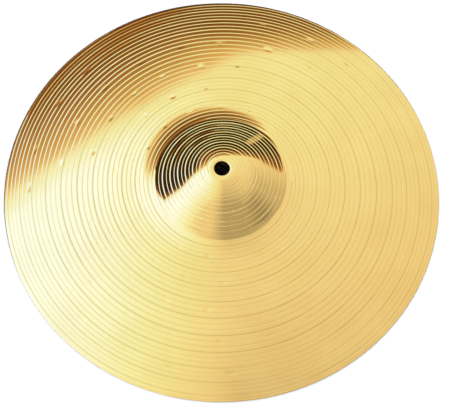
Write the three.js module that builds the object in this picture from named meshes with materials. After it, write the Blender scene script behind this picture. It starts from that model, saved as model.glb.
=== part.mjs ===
// A 14 inch crash cymbal: one disc of sheet brass, pressed and spun into a raised bell and a
// gently curved bow, with a plain hole at the top for the stand's sleeve.
//
// Millimetres, +Z up. The cymbal's axis is Z, and the origin is the middle of the plane that the
// rim rests on, so the bell points up and the whole sheet lies above z = 0.

import * as THREE from "three";

// Driving dimensions
const DIAMETER = 355.6;
const HEIGHT = 40;
const HOLE_DIAMETER = 12.5;
const THICKNESS = 1.0;
const RIM_LAND = 1.0; // width of the flat ring under the rim, which the cymbal rests on
const SEGMENTS = 72; // facets round the axis

const RIM_RADIUS = DIAMETER / 2;
const HOLE_RADIUS = HOLE_DIAMETER / 2;

// The upper face from the hole to the rim. Between two stations the downward slope changes
// evenly, so each stretch is a parabola, drawn in the given number of steps.
const STATIONS = [
  { name: "hole edge", radius: HOLE_RADIUS, slope: 0, steps: 0 },
  { name: "end of the flat seat", radius: 9.3, slope: 0, steps: 1 },
  { name: "edge of the crown", radius: 11.5, slope: 0.2, steps: 1 },
  { name: "shoulder of the bell", radius: 24, slope: 0.4, steps: 3 },
  { name: "top of the bell's flank", radius: 34, slope: 0.6, steps: 2 },
  { name: "foot of the bell", radius: 50, slope: 0.64, steps: 3 },
  { name: "end of the fillet", radius: 55.5, slope: 0.165, steps: 3 },
  { name: "flattest part of the bow", radius: 76, slope: 0.09, steps: 2 },
  { name: "rim", radius: RIM_RADIUS, slope: 0.214, steps: 8 },
];

/** Points of the upper face as { radius, height, slope }, from the hole out to the rim. */
function upperFace() {
  const points = [{ radius: HOLE_RADIUS, height: HEIGHT, slope: 0 }];
  for (let index = 1; index < STATIONS.length; index += 1) {
    const inner = STATIONS[index - 1];
    const outer = STATIONS[index];
    for (let step = 1; step <= outer.steps; step += 1) {
      const share = step / outer.steps;
      const last = points.at(-1);
      const radius = THREE.MathUtils.lerp(inner.radius, outer.radius, share);
      const slope = THREE.MathUtils.lerp(inner.slope, outer.slope, share);
      const drop = ((last.slope + slope) / 2) * (radius - last.radius);
      points.push({ radius, height: last.height - drop, slope });
    }
  }
  return points;
}

/** The point one sheet thickness below a point of the upper face, square to the sheet. */
function lowerPoint({ radius, height, slope }) {
  const length = Math.hypot(1, slope);
  return new THREE.Vector2(radius - (THICKNESS * slope) / length, height - THICKNESS / length);
}

/** The closed outline of the sheet's section: lower face outwards, rim, upper face inwards. */
function sheetOutline() {
  const upper = upperFace();
  const lower = upper.slice(0, -1).map(lowerPoint);
  return [
    ...lower,
    new THREE.Vector2(RIM_RADIUS - RIM_LAND, 0),
    new THREE.Vector2(RIM_RADIUS, 0),
    ...upper.reverse().map((point) => new THREE.Vector2(point.radius, point.height)),
    lower[0].clone(),
  ];
}

/** The whole cymbal, turned about its axis. */
function cymbalPlate() {
  const geometry = new THREE.LatheGeometry(sheetOutline(), SEGMENTS);
  geometry.rotateX(Math.PI / 2);
  const brass = new THREE.MeshStandardMaterial({ color: 0xd9b45a, roughness: 0.3, metalness: 1 });
  const plate = new THREE.Mesh(geometry, brass);
  plate.name = "cymbal_plate";
  return plate;
}

const cymbal = new THREE.Group();
cymbal.name = "crash_cymbal";
cymbal.add(cymbalPlate());

export default cymbal;
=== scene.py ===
"""A 14 inch crash cymbal of lathed brass, lying bell up on a pale floor.

The plate replaces the CAD solid with a closed mesh of the same section that also has what the
lathe and the hammer leave: spiral grooves on the bell and the bow, hammer marks, a rounded rim
and an eased hole. Everything is in metres, and the cymbal's axis is Z.
"""
import math
from typing import NamedTuple

import bpy
import numpy as np
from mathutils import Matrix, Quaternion, Vector


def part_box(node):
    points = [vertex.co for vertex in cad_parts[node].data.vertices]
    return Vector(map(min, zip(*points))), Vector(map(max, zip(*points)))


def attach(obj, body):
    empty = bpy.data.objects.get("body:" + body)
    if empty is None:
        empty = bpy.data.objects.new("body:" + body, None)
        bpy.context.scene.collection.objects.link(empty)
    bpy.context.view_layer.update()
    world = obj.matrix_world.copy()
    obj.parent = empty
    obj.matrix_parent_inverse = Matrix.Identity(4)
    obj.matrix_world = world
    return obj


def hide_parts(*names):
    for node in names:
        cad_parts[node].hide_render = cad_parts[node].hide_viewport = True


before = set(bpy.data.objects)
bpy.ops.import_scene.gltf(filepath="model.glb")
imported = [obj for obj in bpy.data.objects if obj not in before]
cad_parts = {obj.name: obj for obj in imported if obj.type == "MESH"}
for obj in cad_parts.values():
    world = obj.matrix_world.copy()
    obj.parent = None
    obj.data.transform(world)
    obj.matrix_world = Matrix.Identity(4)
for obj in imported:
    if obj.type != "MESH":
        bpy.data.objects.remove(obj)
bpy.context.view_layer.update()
MM = 0.001

# ---------------------------------------------------------------- the section, as in the CAD solid

PLATE_LOW, PLATE_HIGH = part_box("cymbal_plate")
RIM_RADIUS = (PLATE_HIGH.x - PLATE_LOW.x) / 2
HEIGHT = PLATE_HIGH.z
THICKNESS = 1.0 * MM
HOLE_RADIUS = 6.25 * MM
SEAT_RADIUS = 9.3 * MM
BOW_START = 55.5 * MM

# The upper face: radius in mm and downward slope, which changes evenly in between.
STATIONS = (
    (6.25, 0.0),
    (9.3, 0.0),
    (11.5, 0.2),
    (24.0, 0.4),
    (34.0, 0.6),
    (50.0, 0.64),
    (55.5, 0.165),
    (76.0, 0.09),
    (177.8, 0.214),
)
STATION_RADII = np.array([radius for radius, slope in STATIONS]) * MM
STATION_SLOPES = np.array([slope for radius, slope in STATIONS])
STEEPEST = max(STATION_SLOPES)

# The face's drop from the hole's edge, summed over fine steps of radius
FINE_STEPS = 6000
FINE_RADII = np.linspace(HOLE_RADIUS, RIM_RADIUS, FINE_STEPS)
FINE_SLOPES = np.interp(FINE_RADII, STATION_RADII, STATION_SLOPES)
STEP = FINE_RADII[1] - FINE_RADII[0]
FINE_DROPS = np.concatenate(([0.0], np.cumsum((FINE_SLOPES[1:] + FINE_SLOPES[:-1]) / 2 * STEP)))


def face_height(radius):
    """Height of the plain upper face at a radius."""
    return HEIGHT - np.interp(radius, FINE_RADII, FINE_DROPS)


def face_slope(radius):
    """Downward slope of the plain upper face at a radius."""
    return np.interp(radius, FINE_RADII, FINE_SLOPES)


# ---------------------------------------------------------------- the growing mesh

FINE_COLUMNS = 340  # facets round the bow, where the hammer marks are
COLUMNS = FINE_COLUMNS // 2  # facets round the bell and the underside


def column_angles(columns):
    """The angle of each column of vertices."""
    return np.arange(columns) * 2 * math.pi / columns


class Plate:
    """The growing mesh: rings of vertices, and the faces between them."""

    def __init__(self):
        self.points = []
        self.tarnish = []
        self.creases = []
        self.faces = []

    def point(self, x, y, z, tarnish=0.0, crease=0):
        """A vertex, how tarnished it is, and which crease it is on, if any; returns its index."""
        self.points.append((x, y, z))
        self.tarnish.append(tarnish)
        self.creases.append(crease)
        return len(self.points) - 1

    def ring(self, radius, height, columns=COLUMNS):
        """A level ring of vertices; returns their indices."""
        angles = column_angles(columns)
        return [self.point(radius * math.cos(a), radius * math.sin(a), height) for a in angles]

    def face(self, *corners):
        """A face, without the corners that coincide."""
        kept = list(dict.fromkeys(corners))
        if len(kept) > 2:
            self.faces.append(kept)

    def join(self, first, second):
        """Faces from one ring to the next, which may have twice as many vertices."""
        count = len(first)
        doubled = len(second) == 2 * count
        for column in range(count):
            following = (column + 1) % count
            if doubled:
                middle = second[2 * column + 1]
                self.face(first[column], second[2 * column], middle)
                self.face(first[column], middle, first[following])
                self.face(first[following], middle, second[2 * following])
            else:
                self.face(first[column], second[column], second[following], first[following])

    def join_halved(self, first, second):
        """Faces from one ring to the next, which has half as many vertices."""
        count = len(second)
        for column in range(count):
            following = (column + 1) % count
            middle = first[2 * column + 1]
            self.face(first[2 * column], second[column], middle)
            self.face(middle, second[column], second[following])
            self.face(middle, second[following], first[2 * following])


# ---------------------------------------------------------------- the lathe's grooves

CREASES = 3  # sharp lines along a groove: the two edges and the bottom
OFF_CENTRE = 0.8 * MM  # the grooves are turned about an axis this far towards +X


class Groove(NamedTuple):
    """A steep narrow flank on the inner side, and a shallow wide one on the outer side."""

    inner: float  # width of the inner flank, as a share of the distance between grooves
    outer: float  # width of the outer flank, as the same share
    depth: float  # in mm, where the grooves are furthest apart
    tarnish: float  # how tarnished the bottom is


class Row(NamedTuple):
    """One line of vertices along the spiral."""

    phase: float  # in turns
    depth: float
    lean: float  # 0 in a groove and at its outer edge, rising to 1 at the next inner edge
    tarnish: float
    crease: int


class Spiral:
    """Grooves that wind outwards, several side by side, with a pitch that changes on the way."""

    RADII = 3000

    def __init__(self, start, end, pitches, grooves):
        """Pitches are pairs of radius and distance per turn, in mm."""
        self.start = start
        self.end = end
        self.grooves = grooves
        self.radii = np.linspace(start, end, self.RADII)
        self.pitch = np.interp(self.radii, *(np.array(pitches) * MM).T)
        self.turns = np.cumsum(1 / self.pitch) * (self.radii[1] - self.radii[0])

    def radius(self, turns):
        """Radius after a number of turns."""
        return np.interp(turns, self.turns, self.radii)

    def strength(self, distance, angles):
        """How deep the grooves are: less where they are closer, and a little uneven."""
        strength = 1 + 0.10 * np.sin(3 * angles + 910 * distance)
        strength = strength + 0.08 * np.sin(5 * angles - 1730 * distance + 1)
        return strength * np.interp(distance, self.radii, self.pitch / max(self.pitch))

    def rows(self):
        """The rows of one turn."""
        rows = []
        for index, groove in enumerate(self.grooves):
            inner_edge, bottom, outer_edge = (CREASES * index + number for number in (1, 2, 3))
            land = 1 - groove.inner - groove.outer
            places = (
                (-groove.inner, 0, 1, groove.tarnish / 2, inner_edge),
                (0, groove.depth * MM, 0, groove.tarnish, bottom),
                (groove.outer, 0, 0, 0, outer_edge),
                (groove.outer + land / 3, 0, 1 / 3, 0, 0),
                (groove.outer + land * 2 / 3, 0, 2 / 3, 0, 0),
            )
            for place, *others in places:
                rows.append(Row((index + place) / len(self.grooves), *others))
        return rows


BELL_GROOVES = Spiral(
    SEAT_RADIUS,
    54.7 * MM,
    pitches=((9, 5.6), (50, 6.4)),
    grooves=(
        Groove(inner=0.05, outer=0.28, depth=0.48, tarnish=0.05),
        Groove(inner=0.03, outer=0.17, depth=0.28, tarnish=0.05),
    ),
)
FINE_GROOVE = Groove(inner=0.02, outer=0.23, depth=0.118, tarnish=0.35)
BOW_GROOVES = Spiral(
    BOW_START,
    RIM_RADIUS - 0.7 * MM,
    pitches=((55, 9.6), (125, 13.7), (178, 9.0)),
    grooves=(Groove(inner=0.03, outer=0.30, depth=0.150, tarnish=0.8), FINE_GROOVE, FINE_GROOVE),
)


def faded(edge, width):
    """0 at the ends of the grooved face, rising to 1 at this width from them."""
    return np.clip(edge / width, 0, 1)


def add_line(plate, inner, outer, spiral, row, turn, finish):
    """One row's vertices in one turn; past the spiral's ends they are the end rings' vertices."""
    angles = column_angles(len(inner))
    turns = turn + row.phase - angles / (2 * math.pi)
    distance = spiral.radius(turns) + OFF_CENTRE * np.cos(angles)
    distance = np.where(turns <= spiral.turns[0], spiral.start, distance)
    distance = np.where(turns >= spiral.turns[-1], spiral.end, distance)
    x = distance * np.cos(angles)
    y = distance * np.sin(angles)
    edge = np.minimum(distance - spiral.start, spiral.end - distance)
    relief = -row.depth * spiral.strength(distance, angles) * faded(edge, 0.8 * MM)
    z = face_height(distance) + finish(relief, row.lean, angles, distance, edge)
    merged = 0.15 * MM
    line = []
    for column in range(len(inner)):
        if distance[column] <= spiral.start + merged:
            line.append(inner[column])
        elif distance[column] >= spiral.end - merged:
            line.append(outer[column])
        else:
            line.append(plate.point(x[column], y[column], z[column], row.tarnish, row.crease))
    return line


def add_spiral(plate, inner, outer, spiral, finish):
    """The grooved face between two rings, in rows of vertices that follow the grooves."""
    rows = spiral.rows()
    turns = math.ceil(spiral.turns[-1]) + 2
    lines = [
        add_line(plate, inner, outer, spiral, row, turn, finish)
        for turn in range(turns)
        for row in rows
    ]
    # The last column meets the first column of the turn before.
    starts = [inner[0]] * len(rows) + [line[0] for line in lines]
    for index in range(len(lines) - 1):
        line = [*lines[index], starts[index]]
        following = [*lines[index + 1], starts[index + 1]]
        for column in range(len(inner)):
            plate.face(line[column], following[column], following[column + 1], line[column + 1])


def bell_finish(relief, lean, angles, distance, edge):
    """The bell's grooves are deepest where it is steep, and shallower on one side of it."""
    shallow_side = math.radians(285)
    deeper = np.clip(0.75 - 0.45 * np.cos(angles - shallow_side), 0.42, 1)
    return relief * deeper * face_slope(distance) / STEEPEST


# ---------------------------------------------------------------- the hammer's marks

# Near the bell the faces between grooves lean outwards by this much more.
LEAN = 0.16 * MM
LEAN_FROM = 62.0 * MM
LEAN_TO = 71.0 * MM

# Rings of hammer marks: radius in mm, number of marks, angle of the first in degrees.
HAMMER_RINGS = ((67.3, 17, 7), (86.7, 19, 4.5), (109, 22, 2), (132.5, 22, 8.3), (157, 24, 2))
MARK_WIDTH = 2.3 * MM
MARK_DEPTH = 0.18 * MM
MARK_SCATTER = 0.6  # in mm
MARK_SEED = 14


def hammer_marks():
    """Centres of the hammer marks, each a little off its even place."""
    random = np.random.default_rng(MARK_SEED)
    centres = []
    for radius, count, first in HAMMER_RINGS:
        for index in range(count):
            column = round((first / 360 + index / count) * FINE_COLUMNS + random.uniform(-1, 1))
            angle = 2 * math.pi * column / FINE_COLUMNS
            distance = (radius + random.uniform(-MARK_SCATTER, MARK_SCATTER)) * MM
            centres.append((distance * math.cos(angle), distance * math.sin(angle)))
    return np.array(centres)


MARKS = hammer_marks()


def strike(x, y):
    """How far the point is inside a hammer mark: 1 at its middle, 0 outside."""
    inside = np.zeros_like(x)
    for mark_x, mark_y in MARKS:
        near = np.clip(1 - np.hypot(x - mark_x, y - mark_y) / MARK_WIDTH, 0, 1)
        inside = np.maximum(inside, near)
    return inside * inside * (3 - 2 * inside)


def unevenness(x, y):
    """The slow waves that hammering leaves in the bow."""
    waves = (
        np.sin(61 * x + 23 * y + 0.4)
        + np.sin(-37 * x + 71 * y + 1.9)
        + 0.7 * np.sin(97 * x + 88 * y + 4.1)
    )
    return 0.012 * MM * waves


def bow_finish(relief, lean, angles, distance, edge):
    """The bow's faces lean near the bell, and it is struck and slightly wavy."""
    leaning = np.clip((LEAN_TO - distance) / (LEAN_TO - LEAN_FROM), 0, 1)
    relief = relief - LEAN * lean * leaning * faded(edge, 1.5 * MM)
    x = distance * np.cos(angles)
    y = distance * np.sin(angles)
    struck = strike(x, y)
    relief = relief * (1 - struck) - MARK_DEPTH * struck
    return relief + unevenness(x, y) * faded(edge, 8 * MM)


# ---------------------------------------------------------------- the whole plate

HOLE_EASE = 0.25 * MM  # how far the hole's upper edge is rounded
HOLE_LIP = 0.07 * MM  # how far the middle of that rounding is inside the sharp corner
FILLET_STEPS = 5
RIM_ROUNDING = 0.2 * MM
RIM_LIFT = 0.05 * MM  # how far the rim's rounding stands above the plain face's end
RIM_ANGLES = (75, 50, 25, 0, -25, -50, -75, -90)
UNDER_RINGS = 60
UNDER_START = RIM_RADIUS - 1.6 * MM
UNDER_END = HOLE_RADIUS + 0.3 * MM
RIPPLE_PITCH = 5.2 * MM
RIPPLE_DEPTH = 0.03 * MM


def upper_side(plate):
    """Hole edge, flat seat, bell, fillet and bow; returns the first and the last ring."""
    hole = plate.ring(HOLE_RADIUS, HEIGHT - HOLE_EASE)
    lip = plate.ring(HOLE_RADIUS + HOLE_LIP, HEIGHT - HOLE_LIP)
    seat = plate.ring(HOLE_RADIUS + HOLE_EASE, HEIGHT)
    middle = plate.ring(SEAT_RADIUS - 1.2 * MM, HEIGHT)
    crown = plate.ring(SEAT_RADIUS, HEIGHT)
    for inner, outer in ((hole, lip), (lip, seat), (seat, middle), (middle, crown)):
        plate.join(inner, outer)
    foot = plate.ring(BELL_GROOVES.end, face_height(BELL_GROOVES.end))
    add_spiral(plate, crown, foot, BELL_GROOVES, bell_finish)
    last = foot
    for radius in np.linspace(BELL_GROOVES.end, BOW_START, FILLET_STEPS + 1)[1:-1]:
        ring = plate.ring(radius, face_height(radius))
        plate.join(last, ring)
        last = ring
    start = plate.ring(BOW_START, face_height(BOW_START), FINE_COLUMNS)
    plate.join(last, start)
    end = plate.ring(BOW_GROOVES.end, face_height(BOW_GROOVES.end), FINE_COLUMNS)
    add_spiral(plate, start, end, BOW_GROOVES, bow_finish)
    return hole, end


def rim_edge(plate, last):
    """The rounded rim, from the upper face down to the resting plane; returns its last ring."""
    half_height = (float(face_height(RIM_RADIUS)) + RIM_LIFT) / 2
    for degrees in RIM_ANGLES:
        angle = math.radians(degrees)
        radius = RIM_RADIUS - RIM_ROUNDING + RIM_ROUNDING * math.cos(angle)
        ring = plate.ring(radius, half_height + half_height * math.sin(angle), FINE_COLUMNS)
        plate.join(last, ring)
        last = ring
    return last


def under_side(plate, rim, hole):
    """The underside, an even sheet's thickness below the plain face, with shallow ripples."""
    last = rim
    for radius in np.linspace(UNDER_START, UNDER_END, UNDER_RINGS + 1):
        slope = float(face_slope(radius))
        length = math.hypot(1, slope)
        height = float(face_height(radius)) - THICKNESS / length
        plain = BELL_GROOVES.end < radius < BOW_START or radius < SEAT_RADIUS + 2 * MM
        if not plain:
            height += RIPPLE_DEPTH * math.cos(2 * math.pi * radius / RIPPLE_PITCH)
        ring = plate.ring(radius - THICKNESS * slope / length, height)
        if last is rim:
            plate.join_halved(rim, ring)
        else:
            plate.join(last, ring)
        last = ring
    lower_edge = plate.ring(HOLE_RADIUS, HEIGHT - THICKNESS + 0.2 * MM)
    plate.join(last, lower_edge)
    plate.join(lower_edge, hole)


def make_plate():
    """The whole cymbal as one closed mesh, with its tarnish and its sharp creases."""
    plate = Plate()
    hole, end = upper_side(plate)
    rim = rim_edge(plate, end)
    under_side(plate, rim, hole)
    mesh = bpy.data.meshes.new("cymbal")
    mesh.from_pydata(plate.points, [], plate.faces)
    tarnish = mesh.attributes.new("tarnish", "FLOAT", "POINT")
    tarnish.data.foreach_set("value", plate.tarnish)
    mesh.validate()
    mesh.update()
    mesh.polygons.foreach_set("use_smooth", [True] * len(mesh.polygons))
    ends = np.empty(2 * len(mesh.edges), dtype=np.int32)
    mesh.edges.foreach_get("vertices", ends)
    first, second = np.array(plate.creases)[ends.reshape(-1, 2).T]
    sharp = mesh.attributes.new("sharp_edge", "BOOLEAN", "EDGE")
    sharp.data.foreach_set("value", (first == second) & (first > 0))
    cymbal = bpy.data.objects.new("cymbal", mesh)
    bpy.context.scene.collection.objects.link(cymbal)
    return cymbal


# ---------------------------------------------------------------- node trees


class Nodes:
    """Short forms for building a node tree."""

    def __init__(self, tree):
        self.tree = tree
        tree.nodes.clear()

    def add(self, kind, **settings):
        """A node with these settings."""
        node = self.tree.nodes.new(kind)
        for name, value in settings.items():
            setattr(node, name, value)
        return node

    def link(self, source, target):
        """Links an output to an input."""
        self.tree.links.new(source, target)

    def feed(self, socket, value):
        """Links an output to the socket, or sets the socket to a plain value."""
        if isinstance(value, bpy.types.NodeSocket):
            self.link(value, socket)
        else:
            socket.default_value = value

    def math(self, operation, first, second=0.0):
        """The result of a sum."""
        node = self.add("ShaderNodeMath", operation=operation)
        self.feed(node.inputs[0], first)
        self.feed(node.inputs[1], second)
        return node.outputs[0]

    def product(self, first, *others):
        """The values multiplied together."""
        for other in others:
            first = self.math("MULTIPLY", first, other)
        return first

    def total(self, start, *terms):
        """A number plus each term's weight times its value."""
        for weight, value in terms:
            start = self.math("ADD", start, self.math("MULTIPLY", value, weight))
        return start

    def ramp(self, value, start, end, low=0.0, high=1.0):
        """A smooth step from low to high while the value goes from start to end."""
        node = self.add("ShaderNodeMapRange", interpolation_type="SMOOTHSTEP", clamp=True)
        self.feed(node.inputs["Value"], value)
        node.inputs["From Min"].default_value = start
        node.inputs["From Max"].default_value = end
        node.inputs["To Min"].default_value = low
        node.inputs["To Max"].default_value = high
        return node.outputs["Result"]

    def mix(self, factor, first, second):
        """The first colour where the factor is 0, the second where it is 1."""
        node = self.add("ShaderNodeMix", data_type="RGBA")
        self.feed(node.inputs["Factor"], factor)
        self.feed(node.inputs[6], first)
        self.feed(node.inputs[7], second)
        return node.outputs[2]

    def tints(self, value, tints, brightest=1.0):
        """The colour at a value, from (value, colour) pairs; no channel is above the brightest."""
        last = tints[-1][0]
        ramp = self.add("ShaderNodeValToRGB")
        self.link(self.math("DIVIDE", value, last), ramp.inputs["Fac"])
        elements = ramp.color_ramp.elements
        while len(elements) < len(tints):
            elements.new(0.5)
        for element, (place, colour) in zip(elements, tints):
            element.position = place / last
            element.color = (*[channel / brightest for channel in colour], 1)
        scaled = self.add("ShaderNodeVectorMath", operation="SCALE")
        self.link(ramp.outputs[0], scaled.inputs[0])
        scaled.inputs["Scale"].default_value = brightest
        return scaled.outputs[0]

    def noise(self, vector, scale, detail):
        """Noise from 0 to 1."""
        node = self.add("ShaderNodeTexNoise")
        self.link(vector, node.inputs["Vector"])
        node.inputs["Scale"].default_value = scale
        node.inputs["Detail"].default_value = detail
        return node.outputs["Fac"]

    def background(self, colour, strength):
        """World light of one colour and strength."""
        node = self.add("ShaderNodeBackground")
        self.feed(node.inputs["Color"], colour)
        self.feed(node.inputs["Strength"], strength)
        return node.outputs[0]

    def choose(self, factor, first, second):
        """The first shader where the factor is 0, the second where it is 1."""
        node = self.add("ShaderNodeMixShader")
        self.link(factor, node.inputs["Fac"])
        self.link(first, node.inputs[1])
        self.link(second, node.inputs[2])
        return node.outputs[0]


# ---------------------------------------------------------------- materials

DEEP_BRASS = (0.90, 0.60, 0.195, 1)
PALE_BRASS = (0.95, 0.67, 0.235, 1)
TARNISHED_BRASS = (0.64, 0.40, 0.10, 1)
SMOOTHEST = 0.05
ROUGHEST = 0.09
TARNISH_ROUGHNESS = 0.08
FLOOR_COLOUR = (0.9, 0.9, 0.9, 1)
FLOOR_SIZE = 1.1


def lathed_brass():
    """Polished brass with fine turning lines, a little colour variation and tarnished grooves."""
    material = bpy.data.materials.new("lathed_brass")
    material.use_nodes = True
    nodes = Nodes(material.node_tree)
    place = nodes.add("ShaderNodeTexCoord").outputs["Object"]
    parts = nodes.add("ShaderNodeSeparateXYZ")
    nodes.link(place, parts.inputs[0])
    across = nodes.product(parts.outputs["X"], parts.outputs["X"])
    along = nodes.product(parts.outputs["Y"], parts.outputs["Y"])
    ring_place = nodes.add("ShaderNodeCombineXYZ")
    nodes.link(nodes.math("SQRT", nodes.math("ADD", across, along)), ring_place.inputs["X"])

    fine_rings = nodes.noise(ring_place.outputs[0], 900.0, 3.0)
    broad_rings = nodes.noise(ring_place.outputs[0], 140.0, 2.0)
    patches = nodes.noise(place, 28.0, 4.0)

    tone = nodes.total(0.0, (0.5, fine_rings), (0.5, patches))
    colour = nodes.mix(nodes.ramp(tone, 0.3, 0.7), DEEP_BRASS, PALE_BRASS)
    polish = nodes.total(0.0, (0.6, broad_rings), (0.4, patches))
    rough = nodes.ramp(polish, 0.3, 0.7, SMOOTHEST, ROUGHEST)

    tarnish = nodes.add("ShaderNodeAttribute", attribute_name="tarnish").outputs["Fac"]
    colour = nodes.mix(nodes.product(tarnish, 0.7), colour, TARNISHED_BRASS)
    rough = nodes.math("ADD", rough, nodes.product(tarnish, TARNISH_ROUGHNESS))

    bump = nodes.add("ShaderNodeBump")
    bump.inputs["Strength"].default_value = 0.25
    bump.inputs["Distance"].default_value = 0.02 * MM
    nodes.link(fine_rings, bump.inputs["Height"])
    tangent = nodes.add("ShaderNodeTangent", direction_type="RADIAL", axis="Z")

    surface = nodes.add("ShaderNodeBsdfPrincipled")
    surface.inputs["Metallic"].default_value = 1.0
    surface.inputs["Anisotropic"].default_value = 0.3
    nodes.link(colour, surface.inputs["Base Color"])
    nodes.link(rough, surface.inputs["Roughness"])
    nodes.link(bump.outputs["Normal"], surface.inputs["Normal"])
    nodes.link(tangent.outputs[0], surface.inputs["Tangent"])
    output = nodes.add("ShaderNodeOutputMaterial")
    nodes.link(surface.outputs[0], output.inputs["Surface"])
    return material


def pale_floor():
    """A matt white floor under the rim."""
    material = bpy.data.materials.new("pale_floor")
    material.use_nodes = True
    surface = material.node_tree.nodes["Principled BSDF"]
    surface.inputs["Base Color"].default_value = FLOOR_COLOUR
    surface.inputs["Roughness"].default_value = 0.9
    surface.inputs["Specular IOR Level"].default_value = 0.0
    bpy.ops.mesh.primitive_plane_add(size=FLOOR_SIZE, location=(0, 0, PLATE_LOW.z))
    floor = bpy.context.object
    floor.name = "floor"
    floor.data.materials.append(material)


# ---------------------------------------------------------------- studio light

# The cloth's colour at each brightness: dim cloth is neutral, lit cloth is cooler.
CLOTH_TINTS = (
    (0.0, (0.0, 0.0, 0.0)),
    (0.95, (0.94, 0.94, 0.95)),
    (1.27, (0.98, 1.20, 1.27)),
    (1.75, (1.00, 1.34, 1.75)),
    (3.2, (1.08, 1.56, 3.4)),
)
BRIGHTEST_TINT = 3.4

# Brightness of the plain cloth, and what each of its regions adds to it.
PLAIN_CLOTH = 0.92
LAMP_LIGHT = 2.3
OVERHEAD_LIGHT = 0.36
SEAM_LIGHT = 0.16
FRONT_LIGHT = -0.42
RIGHT_LIGHT = -0.29

# The room's colour at each distance inside the tent's opening.
ROOM_TINTS = (
    (0.0, (0.90, 0.72, 0.52)),
    (0.02, (0.73, 0.55, 0.36)),
    (0.04, (0.56, 0.39, 0.21)),
    (0.07, (0.34, 0.18, 0.09)),
    (0.10, (0.23, 0.11, 0.05)),
    (0.17, (0.19, 0.085, 0.038)),
    (0.24, (0.08, 0.045, 0.03)),
    (0.34, (0.045, 0.028, 0.022)),
)

# Where the opening's two straight edges are, and how soft they are.
LEFT_EDGE = 0.347
FAR_EDGE = 0.433
FAR_RATE = 1.8  # how much faster the room darkens beyond the far edge
EDGE_SOFTNESS = 0.01

# A pale card that stands in the room.
CARD_PLACE = (0.37, 0.84)
CARD_OUTER = 0.0030  # squared distance from its middle
CARD_INNER = 0.0009
CARD_COLOUR = (0.55, 0.49, 0.37, 1)

WHITE = (1, 1, 1, 1)
FLOOR_LIGHT = 2.4


def tent_cloth(nodes, side, depth, past_left, past_far):
    """The tent's cloth: a lamp behind its left side, paler cloth overhead, a seam at the front."""
    lamp = nodes.product(
        nodes.ramp(past_left, -0.15, 0.26),
        nodes.ramp(side, 0.03, -0.22),
        nodes.ramp(past_left, 0.355, 0.29),
    )
    overhead = nodes.product(nodes.ramp(past_far, 0.0, 0.36), nodes.ramp(side, 0.55, 0.05))
    seam = nodes.product(
        nodes.ramp(side, 0.03, -0.03),
        nodes.ramp(depth, 0.12, -0.02),
        nodes.ramp(depth, -0.35, -0.10),
    )
    front = nodes.product(nodes.ramp(side, -0.15, 0.05), nodes.ramp(depth, 0.06, -0.30))
    right = nodes.product(nodes.ramp(side, 0.28, 0.50), nodes.ramp(depth, 0.45, 0.05))
    brightness = nodes.total(
        PLAIN_CLOTH,
        (LAMP_LIGHT, lamp),
        (OVERHEAD_LIGHT, overhead),
        (SEAM_LIGHT, seam),
        (FRONT_LIGHT, front),
        (RIGHT_LIGHT, right),
    )
    return nodes.tints(brightness, CLOTH_TINTS, BRIGHTEST_TINT)


def brown_room(nodes, side, depth, inside):
    """The room outside the tent, darker further in and on the left, with a pale card in it."""
    darker_left = nodes.ramp(side, -0.28, -0.40, 1.0, 4.0)
    room = nodes.tints(nodes.product(inside, darker_left), ROOM_TINTS)
    card_side = nodes.math("SUBTRACT", side, CARD_PLACE[0])
    card_depth = nodes.math("SUBTRACT", depth, CARD_PLACE[1])
    squared = nodes.math(
        "ADD", nodes.product(card_side, card_side), nodes.product(card_depth, card_depth)
    )
    return nodes.mix(nodes.ramp(squared, CARD_OUTER, CARD_INNER), room, CARD_COLOUR)


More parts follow.
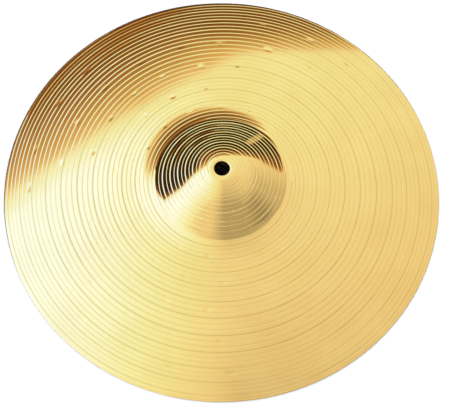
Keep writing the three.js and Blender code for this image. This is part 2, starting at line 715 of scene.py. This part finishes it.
def studio_light():
    """The tent round the cymbal: bright on the left, open and dark beyond the far side.

    Directions are laid out flat: a direction (x, y, z) is at (x, y) / (1 + z), so straight up is
    in the middle and the horizon is the circle of radius 1.
    """
    world = bpy.data.worlds.new("studio")
    bpy.context.scene.world = world
    world.use_nodes = True
    nodes = Nodes(world.node_tree)
    direction = nodes.add("ShaderNodeSeparateXYZ")
    nodes.link(nodes.add("ShaderNodeTexCoord").outputs["Generated"], direction.inputs[0])
    height = direction.outputs["Z"]
    lift = nodes.math("MAXIMUM", nodes.math("ADD", height, 1.0), 0.05)  # never 0, straight down
    side = nodes.math("DIVIDE", direction.outputs["X"], lift)
    depth = nodes.math("DIVIDE", direction.outputs["Y"], lift)

    # Measures across the opening's two straight edges; the far edge is cut back on the right.
    past_left = nodes.total(0.0, (0.83, depth), (-0.557, side))
    past_far = nodes.total(0.0, (1.0, depth), (-0.13, side))
    past_far = nodes.math("ADD", past_far, nodes.ramp(side, 0.52, 0.66, 0.0, 0.17))
    inside = nodes.math(
        "MAXIMUM",
        nodes.math("SUBTRACT", past_left, LEFT_EDGE),
        nodes.product(nodes.math("SUBTRACT", past_far, FAR_EDGE), FAR_RATE),
    )

    cloth = tent_cloth(nodes, side, depth, past_left, past_far)
    room = brown_room(nodes, side, depth, inside)
    opening = nodes.ramp(inside, -EDGE_SOFTNESS, EDGE_SOFTNESS)
    shine = nodes.background(nodes.mix(opening, cloth, room), 1.0)

    # The floor is lit from low all round, and the backdrop is white.
    around = nodes.background(WHITE, nodes.ramp(height, 0.80, 0.70, 0.0, FLOOR_LIGHT))
    backdrop = nodes.background(WHITE, 1.0)
    ray = nodes.add("ShaderNodeLightPath")
    lit = nodes.choose(ray.outputs["Is Diffuse Ray"], shine, around)
    seen = nodes.choose(ray.outputs["Is Camera Ray"], lit, backdrop)
    nodes.link(seen, nodes.add("ShaderNodeOutputWorld").inputs["Surface"])


# ---------------------------------------------------------------- camera

CAMERA_DISTANCE = 0.97
CAMERA_TILT = math.radians(23.87)  # from straight overhead, towards -Y
CAMERA_ROLL = math.radians(0.92)
CAMERA_AIM = (2.84 * MM, -17.97 * MM, 0.0)
CAMERA_LENS_MM = 94.62
SENSOR_MM = 36.0


def photo_camera():
    """Looks down at the cymbal from the front, aimed a little to the right and front of its axis."""
    data = bpy.data.cameras.new("camera")
    camera = bpy.data.objects.new("camera", data)
    bpy.context.scene.collection.objects.link(camera)
    data.sensor_width = SENSOR_MM
    data.lens = CAMERA_LENS_MM
    place = Vector((0, -math.sin(CAMERA_TILT), math.cos(CAMERA_TILT))) * CAMERA_DISTANCE
    turn = (Vector(CAMERA_AIM) - place).to_track_quat("-Z", "Y")
    camera.location = place
    camera.rotation_euler = (turn @ Quaternion((0, 0, 1), CAMERA_ROLL)).to_euler()
    bpy.context.scene.camera = camera


photo_camera()
cymbal = make_plate()
cymbal.data.materials.append(lathed_brass())
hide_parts("cymbal_plate")
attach(cymbal, "root")
pale_floor()
studio_light()
bpy.context.scene.view_settings.view_transform = "Standard"
